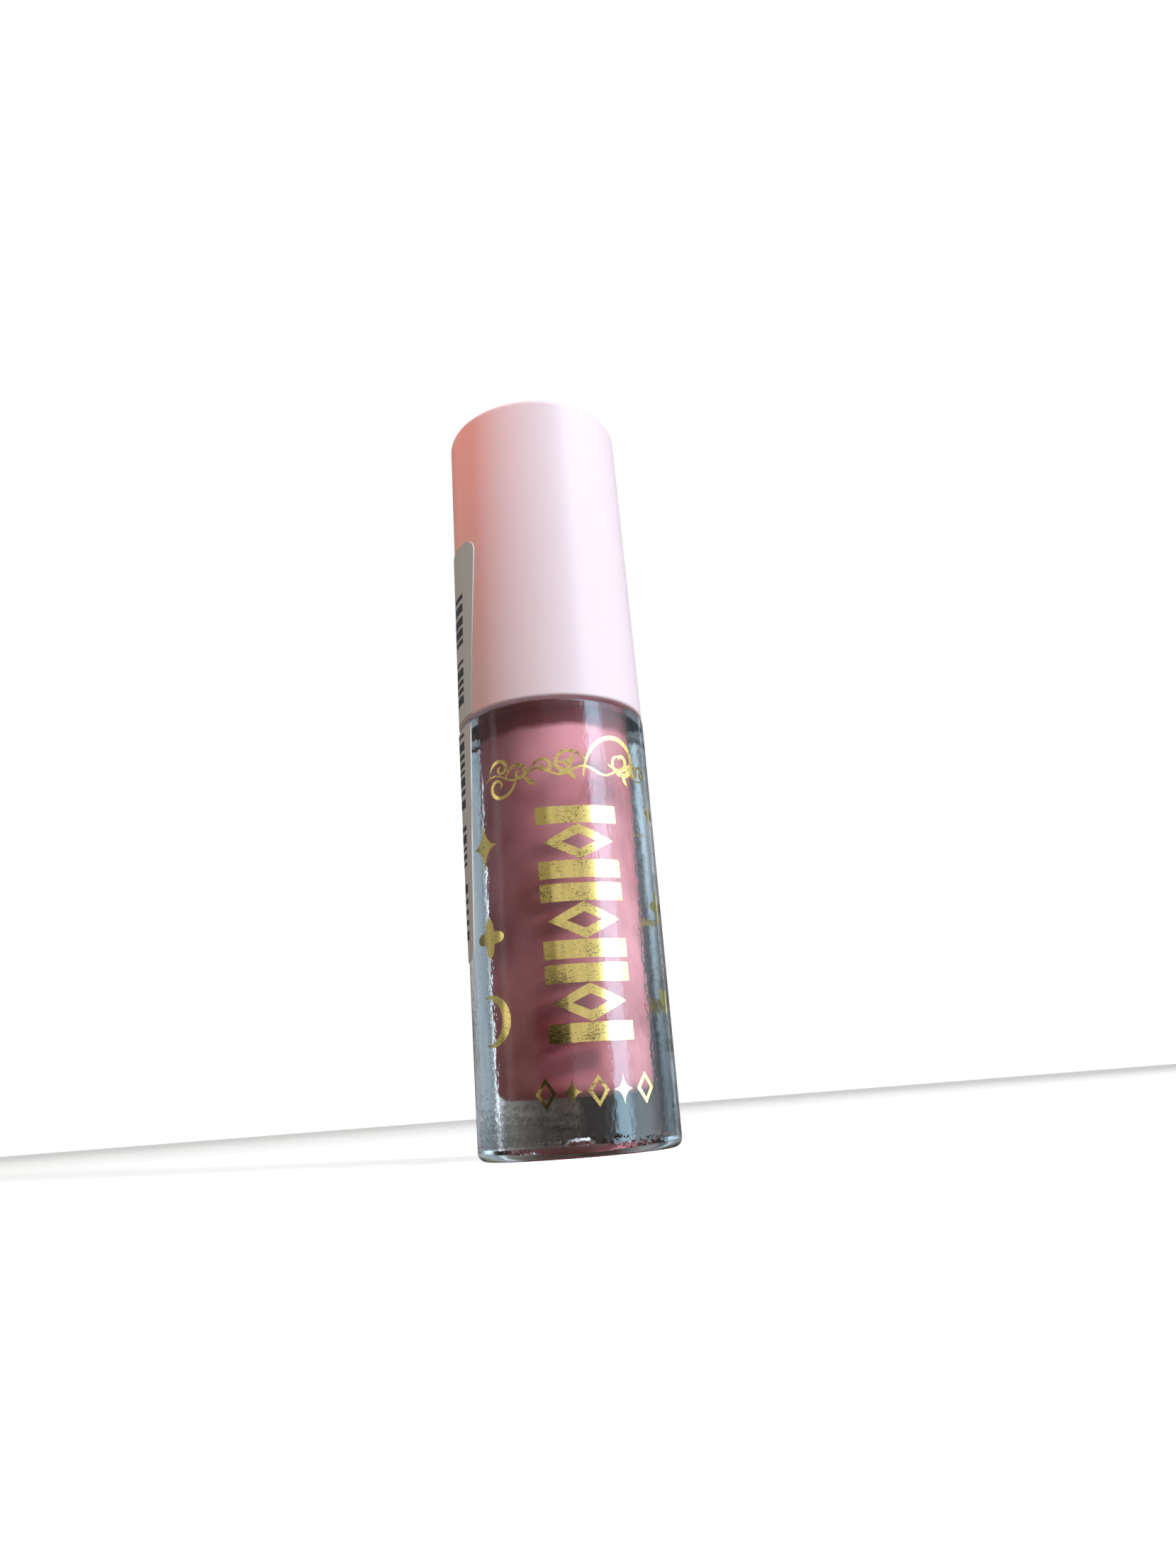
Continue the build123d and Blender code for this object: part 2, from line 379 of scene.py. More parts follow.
lamp("key_window", 46, 0.36, 0.17, 0.055, 0.040, (0.84, 0.94, 1.0), 165.0)
lamp("front_fill", 10, 0.50, 0.16, 0.36, 0.30, (1.0, 0.96, 0.98), 1.25)
lamp("side_fill", 100, 0.45, 0.12, 0.30, 0.30, (0.92, 0.95, 1.0), 2.6)
lamp("left_fill", -112, 0.45, 0.10, 0.30, 0.25, (1.0, 0.84, 0.62), 0.9)
lamp("overhead", 20, 0.06, 0.55, 0.30, 0.30, (0.95, 0.97, 1.0), 3.6)
warm_card = lamp("warm_card", -68, 0.040, 0.072, 0.018, 0.016, (1.0, 0.14, 0.0), 7.0, 60 * MM)
cap_only = bpy.data.collections.new("cap_only")
cap_only.objects.link(nodes["outer_cap"])
warm_card.light_linking.receiver_collection = cap_only

# %% [markdown]
# ## Shared effects
# Moulded plastic is never perfectly even. One node group gives any plastic its slow colour drift,
# its faint flow ripples and its fine handling scratches. It puts out values only, and each material
# decides what they change.

# %% Build the moulded plastic group
def new_group(name, inputs, outputs):
    """A shader node group with float inputs, given as (name, default), and typed outputs."""
    group = bpy.data.node_groups.new(name, "ShaderNodeTree")
    for label, default in inputs:
        socket = group.interface.new_socket(label, in_out="INPUT", socket_type="NodeSocketFloat")
        socket.default_value = default
    for label, kind in outputs:
        group.interface.new_socket(label, in_out="OUTPUT", socket_type=kind)
    return group, add_node(group, "NodeGroupInput"), add_node(group, "NodeGroupOutput")


def noise_node(tree, vector, scale, detail=2.0, roughness=0.5):
    """A Noise texture on a vector socket; scale is a number or a socket."""
    inputs = {"Vector": vector, "Scale": scale, "Detail": detail, "Roughness": roughness}
    return add_node(tree, "ShaderNodeTexNoise", inputs).outputs["Fac"]


def stretched(tree, vector, scale):
    """The vector scaled unevenly, so that a pattern is drawn out along one axis."""
    return add_node(tree, "ShaderNodeMapping", {"Vector": vector, "Scale": scale}).outputs[0]


moulded, moulded_in, moulded_out = new_group(
    "moulded plastic",
    [("Drift Scale", 90.0), ("Flow Scale", 400.0), ("Scratch Scale", 1500.0), ("Scratches", 0.5)],
    [("Drift", "NodeSocketFloat"), ("Flow", "NodeSocketFloat"), ("Scratch", "NodeSocketFloat")],
)
moulded_place = object_place(moulded)
long_flow = stretched(moulded, moulded_place, (1, 1, 0.25))
long_hair = stretched(moulded, moulded_place, (1, 1, 0.06))
hair = noise_node(moulded, long_hair, moulded_in.outputs["Scratch Scale"], 3.0, 0.7)
patch = noise_node(moulded, moulded_place, 160.0, 1.0)
sharp_hair = math_node(moulded, "SMOOTH_MIN", math_node(moulded, "SUBTRACT", hair, 0.62), 0.1)
scratch = math_node(moulded, "MULTIPLY", math_node(moulded, "MULTIPLY", sharp_hair, 8.0, clamp=True), patch)
fill_inputs(moulded, moulded_out, {
    "Drift": noise_node(moulded, moulded_place, moulded_in.outputs["Drift Scale"]),
    "Flow": noise_node(moulded, long_flow, moulded_in.outputs["Flow Scale"], 1.0),
    "Scratch": math_node(moulded, "MULTIPLY", scratch, moulded_in.outputs["Scratches"], clamp=True),
})
print("group", moulded.name, [s.name for s in moulded.interface.items_tree])

# %% [markdown]
# ## The clear wall
# The bottle is one thick clear moulding. A Principled shader with full transmission bends light the
# way the real wall does: it spreads the fill to four fifths of the width and leaves a clear band at
# each side. Lamps would be stopped by a refracting wall, so for shadow rays only the shader is
# swapped for a transparent one, and the fill behind it is lit. Slow flow waves, a finer ripple and
# a few handling scratches keep the wall from looking like a perfect lens.

# %% Make the clear wall
def place_group(tree, group, **values):
    """The group as a node in a tree, with its own values."""
    inputs = {label.replace("_", " "): value for label, value in values.items()}
    return add_node(tree, "ShaderNodeGroup", inputs, node_tree=group)


def bumped(tree, height, distance):
    """A normal tilted by a height socket; distance is the relief in metres."""
    return add_node(tree, "ShaderNodeBump", {"Height": height, "Distance": distance}).outputs[0]


def dress(node_name, material):
    """Puts a material on a CAD node's slot."""
    for slot in nodes[node_name].material_slots:
        slot.material = material
    print(node_name, "wears", material.name)


def make_clear_wall():
    """Clear polished polymer that lets lamps through to the fill."""
    material, tree, shader, output = plain_material("clear_wall")
    plastic = place_group(tree, moulded, Flow_Scale=300.0, Scratch_Scale=1600.0, Scratches=0.35)
    ripple = noise_node(tree, stretched(tree, object_place(tree), (1, 1, 0.55)), 2600.0, 2.0)
    swell = math_node(tree, "MULTIPLY_ADD", plastic.outputs["Flow"], 3.0, ripple)
    fill_inputs(tree, shader, {
        "Base Color": (0.985, 0.99, 1.0, 1),
        "IOR": 1.5,
        "Transmission Weight": 1.0,
        "Roughness": math_node(tree, "MULTIPLY_ADD", plastic.outputs["Scratch"], 0.2, 0.012),
        "Normal": bumped(tree, swell, 0.022 * MM),
    })
    open_way = add_node(tree, "ShaderNodeBsdfTransparent", {"Color": (0.93, 0.93, 0.94, 1)})
    shadow_ray = add_node(tree, "ShaderNodeLightPath").outputs["Is Shadow Ray"]
    wall = shader_mix(tree, shadow_ray, shader.outputs[0], open_way.outputs[0])
    tree.links.new(wall, output.inputs["Surface"])
    return material


dress("bottle", make_clear_wall())

# %% [markdown]
# ## The colour of the gloss
# The gloss is an opaque cream, and its pigment is never quite stirred in, so its colour swirls slowly
# between a deep and a pale mauve. Near the top the colour is a painted shade, dark with a wavy lower
# edge. It stands for the cap's shadow and for the dark space behind a thin film of gloss. The fill and
# the coat on the wand share this colour, so it is a group.

# %% Mix the gloss colour
def colour_mix(tree, factor, first, second):
    """A colour between two, each a socket or red, green and blue."""
    ends = [end if isinstance(end, bpy.types.NodeSocket) else (*end, 1) for end in (first, second)]
    inputs = {0: factor, 6: ends[0], 7: ends[1]}
    return add_node(tree, "ShaderNodeMix", inputs, data_type="RGBA").outputs[2]


creamy, _, creamy_out = new_group("creamy gloss", [], [("Colour", "NodeSocketColor")])
# Painted shade: a dark band at the top of the fill, for the cap's shadow and the dark space behind a thin
# film.
top_shade_low_edge = gloss_high_z - 1.55 * MM
top_shade_high_edge = gloss_high_z - 1.05 * MM
cream = place_group(creamy, moulded, Drift_Scale=150.0)
swirl = math_node(creamy, "MULTIPLY_ADD", cream.outputs["Drift"], 2.2, -0.6, clamp=True)
mauve = colour_mix(creamy, swirl, (0.25, 0.047, 0.050), (0.63, 0.240, 0.258))
cream_place = object_place(creamy)
cream_parts = add_node(creamy, "ShaderNodeSeparateXYZ", {0: cream_place})
wave = math_node(creamy, "MULTIPLY", noise_node(creamy, cream_place, 330.0, 1.0), 1.1 * MM)
film = add_node(creamy, "ShaderNodeMapRange", {
    "Value": math_node(creamy, "ADD", cream_parts.outputs["Z"], wave),
    "From Min": top_shade_low_edge,
    "From Max": top_shade_high_edge,
})
# The painted shade colour is mixed in over the top band.
painted_top_shade = colour_mix(creamy, film.outputs["Result"], mauve, (0.20, 0.030, 0.035))
creamy.links.new(painted_top_shade, creamy_out.inputs["Colour"])


def make_gloss(name, roughness, mirror):
    """Opaque creamy gloss; mirror says how strongly its skin reflects."""
    material, tree, shader, _ = plain_material(name)
    fill_inputs(tree, shader, {
        "Base Color": place_group(tree, creamy).outputs["Colour"],
        "Roughness": roughness,
        "Specular IOR Level": mirror,
        "Subsurface Weight": 0.12,
        "Subsurface Radius": (1.0, 0.35, 0.3),
        "Subsurface Scale": 0.3 * MM,
    })
    return material


creamy_gloss = make_gloss("creamy_gloss", 0.45, 0.12)
print("gloss film between", round(top_shade_low_edge / MM, 2), "and", round(top_shade_high_edge / MM, 2), "mm")

# %% [markdown]
# ## The gloss in the bottle
# The fill wets the wall, with no air between them, so there is no mirror at its edge. The CAD solid
# stands a hair clear of the wall, which would show as a silver skin. It is replaced by a turned
# piece that sits a hair inside the wall, with the same corner at the floor, a meniscus at the top
# and the same free way for the wand.

# %% Turn the fill
def turned(name, profile, segments=144):
    """A closed turned surface from (radius, height) points that start and end on the axis."""
    verts = []
    rings = []
    for radius, height in profile:
        count = segments if radius else 1
        rings.append(range(len(verts), len(verts) + count))
        for step in range(count):
            turn = math.tau * step / count
            verts.append((radius * math.cos(turn), radius * math.sin(turn), height))
    faces = []
    for lower, upper in zip(rings, rings[1:]):
        for step in range(segments):
            after = (step + 1) % segments
            if len(lower) == 1:
                faces.append((lower[0], upper[after], upper[step]))
            elif len(upper) == 1:
                faces.append((lower[step], lower[after], upper[0]))
            else:
                faces.append((lower[step], lower[after], upper[after], upper[step]))
    made = mesh_object(name, verts, faces)
    soften(made.data)
    return made


def soften(mesh, angle=35):
    """Smooth shading, with edges kept sharp where they turn by more than the angle."""
    mesh.polygons.foreach_set("use_smooth", [True] * len(mesh.polygons))
    mesh.set_sharp_from_angle(angle=math.radians(angle))


def arc(centre, radius, start, end, steps=8):
    """Points on an arc about a (radius, height) centre, angles in degrees."""
    turns = [math.radians(start + (end - start) * step / steps) for step in range(steps + 1)]
    return [(centre[0] + radius * math.cos(t), centre[1] + radius * math.sin(t)) for t in turns]


wetting = 0.05 * MM
fill_corner = 0.93 * MM
wand_play = 0.35 * MM
fill_radius = gloss_radius + wetting
fill_floor = gloss_low_z - wetting
well_radius = tip_radius + wand_play
well_floor = tip_low_z - wand_play
gloss_fill = turned(
    "gloss_fill",
    [
        (0, fill_floor),
        *arc((fill_radius - fill_corner, fill_floor + fill_corner), fill_corner, -90, 0),
        (fill_radius, gloss_high_z + 0.35 * MM),
        (fill_radius - 0.15 * MM, gloss_high_z + 0.16 * MM),
        (fill_radius - 0.45 * MM, gloss_high_z + 0.04 * MM),
        (fill_radius - 1.0 * MM, gloss_high_z),
        (well_radius + 0.2 * MM, gloss_high_z),
        (well_radius, gloss_high_z - 0.1 * MM),
        (well_radius, well_floor),
        (0, well_floor),
    ],
)
gloss_fill.data.materials.append(creamy_gloss)
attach(gloss_fill, "bottle")
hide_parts("gloss")
print("fill radius", round(fill_radius / MM, 3), "mm,", len(gloss_fill.data.polygons), "faces")

# %% [markdown]
# ## The gate scar
# The bottle's mould was filled through a gate in the middle of the foot. Where the sprue was twisted
# off, the clear polymer is torn and scatters light, so the recess shows through the base as a small
# white arc. The scar is a thin frosted skin, set a hair inside the polymer: behind a film of air it
# would be hidden by total reflection.

# %% Line the gate recess
def make_torn_plastic():
    """Clear polymer torn to a white, rough break."""
    material, tree, shader, _ = plain_material("torn_plastic")
    plastic = place_group(tree, moulded, Drift_Scale=2500.0, Flow_Scale=6000.0)
    fill_inputs(tree, shader, {
        "Base Color": colour_mix(tree, plastic.outputs["Drift"], (0.62, 0.62, 0.60), (0.97, 0.97, 0.95)),
        "Roughness": 0.6,
        "Normal": bumped(tree, plastic.outputs["Flow"], 0.05 * MM),
    })
    return material


gate_mouth_z = 1.06 * MM
gate_roof_z = 1.24 * MM
gate_mouth_radius = 0.62 * MM
gate_roof_radius = 0.48 * MM
scar_thickness = 0.12 * MM
gate_scar = turned(
    "gate_scar",
    [
        (0, gate_roof_z - scar_thickness),
        (gate_roof_radius - scar_thickness, gate_roof_z - scar_thickness),
        (gate_mouth_radius - scar_thickness, gate_mouth_z),
        (gate_mouth_radius, gate_mouth_z),
        (gate_roof_radius, gate_roof_z),
        (0, gate_roof_z),
    ],
    segments=48,
)
gate_scar.data.materials.append(make_torn_plastic())
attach(gate_scar, "bottle")
print("gate scar", len(gate_scar.data.polygons), "faces")

# %% [markdown]
# ## The pink cap and the plain plastics
# The cap is moulded in a pale pink polymer whose polish is good but not mirror bright. Light goes a
# little way into it, so it gets some subsurface scattering, and a soft skin spreads its reflections.
# The parts inside are natural polymer with no dye, which looks milky because light wanders further
# in it. One function makes them all, more or less cloudy and more or less rough.

# %% Dress the cap and the plain plastics
def make_cap_shell():
    """Pale pink moulding with a soft polish."""
    material, tree, shader, _ = plain_material("pink_cap_shell")
    plastic = place_group(tree, moulded, Drift_Scale=60.0, Flow_Scale=250.0, Scratches=0.5)
    fill_inputs(tree, shader, {
        "Base Color": colour_mix(tree, plastic.outputs["Drift"], (0.85, 0.690, 0.740), (0.885, 0.74, 0.79)),
        "Roughness": math_node(tree, "MULTIPLY_ADD", plastic.outputs["Scratch"], 0.25, 0.33),
        "Coat Weight": 0.03,
        "Coat Roughness": 0.2,
        "Specular IOR Level": 0.22,
        "Subsurface Weight": 0.15,
        "Subsurface Radius": (1.0, 0.6, 0.55),
        "Subsurface Scale": 0.8 * MM,
        "Normal": bumped(tree, plastic.outputs["Flow"], 0.006 * MM),
    })
    return material


def make_milky_plastic(name, dark, light, roughness, cloudiness):
    """Natural, uncoloured polymer: matt, milky, and lit from within."""
    material, tree, shader, _ = plain_material(name)
    plastic = place_group(tree, moulded, Drift_Scale=200.0, Flow_Scale=700.0, Scratches=0.8)
    fill_inputs(tree, shader, {
        "Base Color": colour_mix(tree, plastic.outputs["Drift"], dark, light),
        "Roughness": math_node(tree, "MULTIPLY_ADD", plastic.outputs["Scratch"], 0.2, roughness),
        "Subsurface Weight": cloudiness,
        "Subsurface Radius": (1.0, 0.9, 0.8),
        "Subsurface Scale": 1.0 * MM,
        "Normal": bumped(tree, plastic.outputs["Flow"], 0.01 * MM),
    })
    return material


dress("outer_cap", make_cap_shell())
milky_plastics = {
    "inner_cap": ("natural_inner_cap", (0.78, 0.77, 0.75), (0.86, 0.85, 0.83), 0.38, 0.3),
    "wiper": ("soft_wiper", (0.80, 0.79, 0.77), (0.90, 0.89, 0.87), 0.45, 0.5),
    "stem": ("natural_stem", (0.80, 0.78, 0.76), (0.88, 0.86, 0.84), 0.3, 0.4),
    "tip_core": ("tip_core_plastic", (0.78, 0.76, 0.74), (0.85, 0.84, 0.82), 0.4, 0.3),
}
for node_name, recipe in milky_plastics.items():
    dress(node_name, make_milky_plastic(*recipe))

# %% [markdown]
# ## The liner
# The liner is a die-cut ring of white foamed sheet. Its cells show as a fine pitted skin, which a
# Voronoi pattern gives as a bump, and as a painted shade that darkens the pits.

# %% Make the liner foam
def make_liner_foam():
    """White closed-cell foam sheet."""
    material, tree, shader, _ = plain_material("liner_foam")
    cells = add_node(tree, "ShaderNodeTexVoronoi", {"Scale": 5000.0, "Vector": object_place(tree)})
    pits_and_shade = cells.outputs["Distance"]
    fill_inputs(tree, shader, {
        # Painted shade: the colour darkens in the pits of the cells.
        "Base Color": colour_mix(tree, pits_and_shade, (0.9, 0.9, 0.88), (0.72, 0.72, 0.7)),
        "Roughness": 0.7,
        "Normal": bumped(tree, pits_and_shade, -0.03 * MM),
    })
    return material


dress("cap_liner", make_liner_foam())

# %% [markdown]
# ## Print on a round wall
# The gold print is hot-stamped foil, a few hundredths of a millimetre thick. Each motif is drawn
# flat, in millimetres along the arc and up the wall, and filled as a plate. Geometry Nodes then
# repeat the plate, wrap it round the wall and give it its material, so one tree serves every print.
# The plate is first cut into narrow strips, because a long flat face can't bend.

# %% Build the wrapping tree
def make_tree(name, result, sockets):
    """A Geometry Nodes tree with its input identifiers by name and the sockets they feed."""
    tree = bpy.data.node_groups.new(name, "GeometryNodeTree")
    identifiers = {}
    for label, kind in sockets.items():
        socket = tree.interface.new_socket(label, in_out="INPUT", socket_type=f"NodeSocket{kind}")
        identifiers[label] = socket.identifier
    tree.interface.new_socket(result, in_out="OUTPUT", socket_type="NodeSocketGeometry")
    return tree, identifiers, add_node(tree, "NodeGroupInput").outputs


def realised(tree, instances):
    """Instances turned into real geometry."""
    return add_node(tree, "GeometryNodeRealizeInstances", {0: instances.outputs["Instances"]}).outputs[0]


def put_out(tree, geometry, material):
    """Ends a tree: the geometry gets its material and leaves."""
    inputs = {"Geometry": geometry, "Material": material}
    dyed = add_node(tree, "GeometryNodeSetMaterial", inputs)
    add_node(tree, "NodeGroupOutput", {0: dyed.outputs[0]})


wrap, wrap_ids, wrap_in = make_tree("wrap print", "Print", {
    "Plate": "Geometry",
    "Count": "Int",
    "Start": "Vector",
    "Step": "Vector",
    "Radius At Zero": "Float",
    "Draft": "Float",
    "Material": "Material",
})


def wrap_math(operation, *values):
    """A Math node in the wrapping tree."""
    return math_node(wrap, operation, *values)


rows = {"Count": wrap_in["Count"], "Start Location": wrap_in["Start"], "Offset": wrap_in["Step"]}
line = add_node(wrap, "GeometryNodeMeshLine", rows, mode="OFFSET")
copies = add_node(wrap, "GeometryNodeInstanceOnPoints", {
    "Points": line.outputs["Mesh"],
    "Instance": wrap_in["Plate"],
})
flat_place = add_node(wrap, "GeometryNodeInputPosition")
flat_parts = add_node(wrap, "ShaderNodeSeparateXYZ", {0: flat_place.outputs[0]}).outputs
narrowing = wrap_math("MULTIPLY", flat_parts["Z"], wrap_in["Draft"])
wall_here = wrap_math("ADD", narrowing, wrap_in["Radius At Zero"])
lifted = wrap_math("SUBTRACT", wall_here, flat_parts["Y"])
turn_here = wrap_math("DIVIDE", flat_parts["X"], wall_here)
forward = wrap_math("MULTIPLY", lifted, wrap_math("COSINE", turn_here))
round_place = add_node(wrap, "ShaderNodeCombineXYZ", {
    "X": wrap_math("MULTIPLY", lifted, wrap_math("SINE", turn_here)),
    "Y": wrap_math("MULTIPLY", forward, -1),
    "Z": flat_parts["Z"],
})
bend = add_node(wrap, "GeometryNodeSetPosition", {
    "Geometry": realised(wrap, copies),
    "Position": round_place.outputs[0],
})
put_out(wrap, bend.outputs[0], wrap_in["Material"])
print("tree", wrap.name, "inputs", list(wrap_ids))

# %% [markdown]
# ## From an outline to a wrapped plate
# `flat_plate` fills closed outlines, holes included, and cuts the result into strips. `printed`
# runs the tree on it, gives the foil its thickness with Solidify, and keeps the result as a plain
# mesh. The foil's inner face sits just inside the wall, so no air gap shows under it.

# %% Make plates
def flat_plate(name, outlines, strip=0.3):
    """A flat plate in the XZ plane, facing -Y, from closed outlines in millimetres."""
    sheet = bmesh.new()
    rims = []
    for outline in outlines:
        corners = [sheet.verts.new((x * MM, 0, z * MM)) for x, z in outline]
        rims += [sheet.edges.new(pair) for pair in zip(corners, corners[1:] + corners[:1])]
    bmesh.ops.triangle_fill(sheet, edges=rims, use_beauty=True, use_dissolve=False, normal=(0, -1, 0))
    left = min(v.co.x for v in sheet.verts)
    right = max(v.co.x for v in sheet.verts)
    for cut in range(1, int((right - left) / (strip * MM)) + 1):
        geometry = sheet.verts[:] + sheet.edges[:] + sheet.faces[:]
        where = (left + cut * strip * MM, 0, 0)
        bmesh.ops.bisect_plane(sheet, geom=geometry, plane_co=where, plane_no=(1, 0, 0))
    for face in sheet.faces:
        face.normal_update()
        if face.normal.y > 0:
            face.normal_flip()
    mesh = bpy.data.meshes.new(name)
    sheet.to_mesh(mesh)
    sheet.free()
    return shown(name, mesh)


def run_tree(piece, tree, identifiers, values):
    """Puts a Geometry Nodes tree on a piece and sets its named inputs."""
    modifier = piece.modifiers.new(tree.name, "NODES")
    modifier.node_group = tree
    for label, value in values.items():
        modifier[identifiers[label]] = value


def settled(piece):
    """Keeps what the modifiers make as the piece's plain mesh."""
    graph = bpy.context.evaluated_depsgraph_get()
    mesh = bpy.data.meshes.new_from_object(piece.evaluated_get(graph))
    piece.modifiers.clear()
    piece.data = mesh
    return mesh


def printed(plate, material, radius, lift=0.015, thick=0.03, draft=0.0, start=(0, 0), count=1, step=(0, 0)):
    """Wraps a plate round a wall and keeps it as a plain mesh; start and step are in millimetres."""
    run_tree(plate, wrap, wrap_ids, {
        "Count": count,
        "Start": (start[0] * MM, 0, start[1] * MM),
        "Step": (step[0] * MM, 0, step[1] * MM),
        "Radius At Zero": radius + lift * MM,
        "Draft": draft,
        "Material": material,
    })
    thickness = plate.modifiers.new("thickness", "SOLIDIFY")
    thickness.thickness = thick * MM
    thickness.offset = -1
    soften(settled(plate))
    return plate


print("plates are cut into strips and wrapped by", wrap.name)

# %% [markdown]
# ## Gold foil
# Hot-stamped foil is a real metal film. It mirrors the window as pale yellow and the dark places of
# the room as brown. It is pressed on a surface that isn't perfectly smooth, so it has a fine grain
# in level lines, and rubbing has opened it in places, which shows as darker specks.

# %% Make the foil
def make_gold_foil():
    """Olive-gold stamped foil with a fine grain and worn specks."""
    material, tree, shader, _ = plain_material("gold_foil")
    place = object_place(tree)
    lines = noise_node(tree, stretched(tree, place, (1, 1, 4.5)), 2400.0, 3.0, 0.7)
    grain = noise_node(tree, place, 9000.0, 2.0, 0.6)
    worn_patch = noise_node(tree, place, 380.0, 2.0)
    half_grain = math_node(tree, "MULTIPLY", grain, 0.5)
    wear = math_node(tree, "ADD", math_node(tree, "MULTIPLY", lines, 0.7), half_grain)
    wear = math_node(tree, "ADD", wear, math_node(tree, "MULTIPLY", worn_patch, 0.5))
    specks = math_node(tree, "MULTIPLY", math_node(tree, "SUBTRACT", wear, 0.90), 14.0, clamp=True)
    sheen = colour_mix(tree, lines, (0.66, 0.49, 0.13), (0.96, 0.82, 0.34))
    speck_strength = math_node(tree, "MULTIPLY", specks, 0.75)
    fill_inputs(tree, shader, {
        "Base Color": colour_mix(tree, speck_strength, sheen, (0.10, 0.065, 0.03)),
        "Metallic": 1.0,
        "Roughness": math_node(tree, "MULTIPLY_ADD", wear, 0.55, -0.36),
        "Normal": bumped(tree, wear, 0.0035 * MM),
    })
    return material


gold_foil = make_gold_foil()
print("foil nodes", len(gold_foil.node_tree.nodes))

# %% [markdown]
# ## The small motifs
# The scattered motifs are a sparkle, a four-petalled blossom, a crescent moon and a heart. Each
# outline is a short formula, so it stays smooth at any size.

# %% Draw the motif outlines
def around_once(steps):
    """Angles that go once round."""
    return [math.tau * step / steps for step in range(steps)]


def hollow(value):
    """A sine or cosine bent towards zero, which hollows the sides of a star."""
    return math.copysign(abs(value) ** 3.6, value)


def sparkle(width, height, steps=56):
    """A slim four-pointed star."""
    return [
        (width / 2 * hollow(math.cos(t)), height / 2 * hollow(math.sin(t))) for t in around_once(steps)
    ]


def blossom(size, steps=64):
    """Four round petals."""
    radii = [size / 2 * (0.74 + 0.26 * math.cos(4 * t)) for t in around_once(steps)]
    return [(r * math.cos(t), r * math.sin(t)) for r, t in zip(radii, around_once(steps))]


def crescent(size, thickness, steps=28):
    """A moon that opens to the left. The inner arc passes through the tips of the outer one."""
    radius = size / 2
    tip_turn = math.radians(118)
    tip_x = radius * math.cos(tip_turn)
    tip_z = radius * math.sin(tip_turn)
    reach = radius - thickness
    inner_x = (radius**2 - reach**2) / (2 * (tip_x - reach))
    inner_radius = reach - inner_x
    inner_turn = math.atan2(tip_z, tip_x - inner_x)
    outer = [tip_turn * (2 * step / steps - 1) for step in range(steps + 1)]
    inner = [inner_turn * (1 - 2 * step / steps) for step in range(1, steps)]
    rim = [(radius * math.cos(t), radius * math.sin(t)) for t in outer]
    return rim + [(inner_x + inner_radius * math.cos(t), inner_radius * math.sin(t)) for t in inner]


def heart(size, steps=48):
    """A plain heart."""
    unit = size / 34
    across_it = [16 * math.sin(t) ** 3 for t in around_once(steps)]
    up_it = [
        13 * math.cos(t) - 5 * math.cos(2 * t) - 2 * math.cos(3 * t) - math.cos(4 * t)
        for t in around_once(steps)
    ]
    return [(x * unit, z * unit) for x, z in zip(across_it, up_it)]


def foil_piece(name, outlines, **where):
    """A foil print on the bottle, as a finished piece."""
    piece = printed(flat_plate(name, outlines), gold_foil, barrel_radius, **where)
    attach(piece, "bottle")
    print(name, len(piece.data.polygons), "faces")


back_turn = math.pi * barrel_radius / MM
foil_piece("foil_sparkles", [sparkle(3.1, 4.1)], start=(-6.75, 23.8), count=2, step=(back_turn - 1.2, 0))
foil_piece("foil_blossoms_left", [blossom(3.1)], start=(-6.6, 16.5), count=2, step=(back_turn, 0))
foil_piece("foil_moons", [crescent(3.9, 0.85)], start=(-6.75, 10.2), count=2, step=(back_turn, 0))
foil_piece("foil_sparkles_right", [sparkle(2.4, 3.3)], start=(9.8, 26.2), count=2, step=(back_turn / 2, 0))
foil_piece("foil_blossoms_right", [blossom(2.7)], start=(9.6, 18.4), count=2, step=(back_turn / 2, 0))
foil_piece("foil_hearts", [heart(2.6)], start=(9.6, 11.0), count=2, step=(back_turn / 2, 0))

# %% [markdown]
# ## The tall panel and the small row
# The tall panel in the middle of the front is a bold column: a heavy bar, an open lozenge and a
# heavy bar, three times over. Under it a small row alternates open lozenges with sparkles. Both are
# plain geometric ornament, so each is drawn once and the tree repeats it.

# %% Print the panel and the row
def lozenge(width, height):
    """A diamond."""
    return [(width / 2, 0), (0, height / 2), (-width / 2, 0), (0, -height / 2)]


def block(left, right, low, high):
    """A rectangle from its sides."""
    return [(left, low), (right, low), (right, high), (left, high)]


def bar(width, height, middle=0.0):
    """A rectangle, centred across, at a height."""
    return block(-width / 2, width / 2, middle - height / 2, middle + height / 2)


panel_width = 6.6
panel_bar = 1.4
panel_block = 5.75
panel_pitch = 6.15
bar_place = (panel_block - panel_bar) / 2
panel_gap = panel_block - 2 * panel_bar
panel_middle = 1.55
foil_piece(
    "foil_panel",
    [
        bar(panel_width, panel_bar, -bar_place),
        lozenge(panel_width * 0.86, panel_gap - 0.1),
        lozenge(panel_width * 0.42, panel_gap * 0.42),
        bar(panel_width, panel_bar, bar_place),
    ],
    start=(panel_middle, 10.9),
    count=3,
    step=(0, panel_pitch),
)
row_height = 4.55
row_pitch = 1.95
row_left = -2.25
foil_piece(
    "foil_row_lozenges",
    [lozenge(1.6, 2.3), lozenge(0.95, 1.45)],
    start=(row_left, row_height),
    count=3,
    step=(2 * row_pitch, 0),
)
foil_piece(
    "foil_row_sparkles",
    [sparkle(1.6, 2.2)],
    start=(row_left + row_pitch, row_height),
    count=2,
    step=(2 * row_pitch, 0),
)

# %% [markdown]
# ## The flourish
# Above the panel a pen-drawn vine runs round the bottle. A pen line is a ribbon that swells and
# thins, so each stroke is a path with a width at every point. Tendrils are grown step by step: the
# pen moves on, turns a little more each step, and its steps get shorter, which winds it into a curl.

